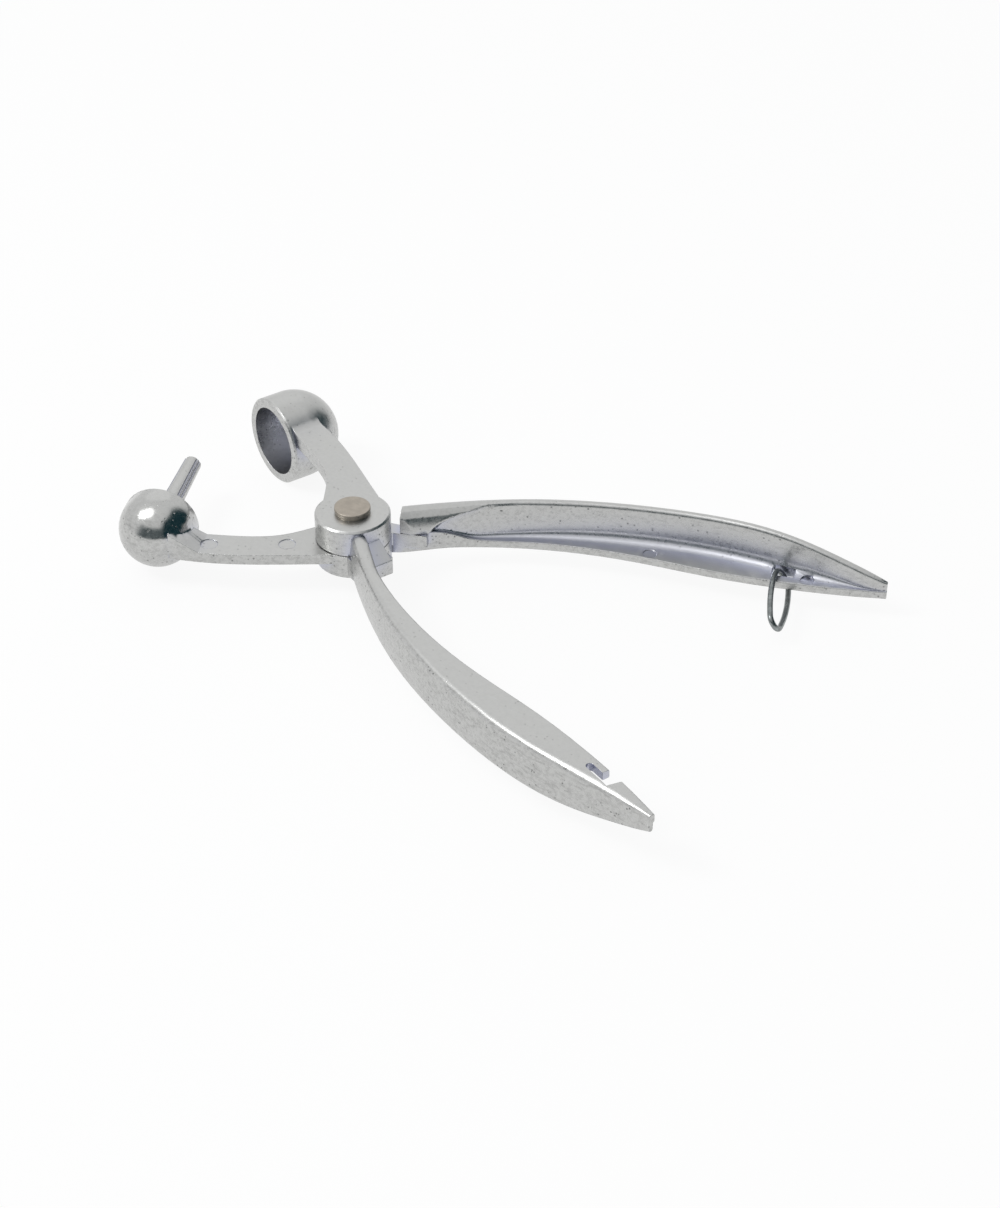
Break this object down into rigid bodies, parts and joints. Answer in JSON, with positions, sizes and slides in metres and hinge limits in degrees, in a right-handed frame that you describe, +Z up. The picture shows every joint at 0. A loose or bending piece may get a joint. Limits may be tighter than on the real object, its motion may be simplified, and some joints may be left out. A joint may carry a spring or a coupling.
{
  "type": "olive pitter",
  "caption": "Hand-held lever tool that pushes the stone out of an olive: a ball with a punch pin swings into a domed cup, and a wire loop locks the handles shut.",
  "frame": {"origin": "on the pivot axis, at the flat end of the rivet's tail", "axes": "+Z up along the rivet, from its tail to its head; +X from the pivot towards the handle tips, midway between the handles at rest; +Y towards the cup's side"},
  "size_m": [0.1617, 0.1062, 0.0214],
  "materials": {
    "cast_body": "tumbled, satin",
    "rivet_metal": "satin",
    "washer_metal": "satin",
    "spring_wire": "drawn wire",
    "loop_wire": "drawn wire"
  },
  "bodies": {
    "cup_lever": {"cup_lever": "cast_body", "pivot_rivet": "rivet_metal", "rivet_washer": "washer_metal", "return_spring": "spring_wire"},
    "punch_lever": {"punch_lever": "cast_body"},
    "locking_loop": {"locking_loop": "loop_wire"}
  },
  "joints": [
    {"name": "lever_pivot", "type": "hinge", "parent": "cup_lever", "child": "punch_lever", "pos_m": [0, 0, 0.0066], "axis": [0, 0, 1], "range_deg": [-44.5, 0], "stiffness_Nm_per_rad": 0.6, "springref_deg": 5.73, "deforming": ["return_spring"]},
    {"name": "loop_swing", "type": "hinge", "parent": "punch_lever", "child": "locking_loop", "pos_m": [0.08806, 0.04324, 0.0019], "axis": [-0.9253, -0.3793, 0], "range_deg": [-50, 90]}
  ]
}
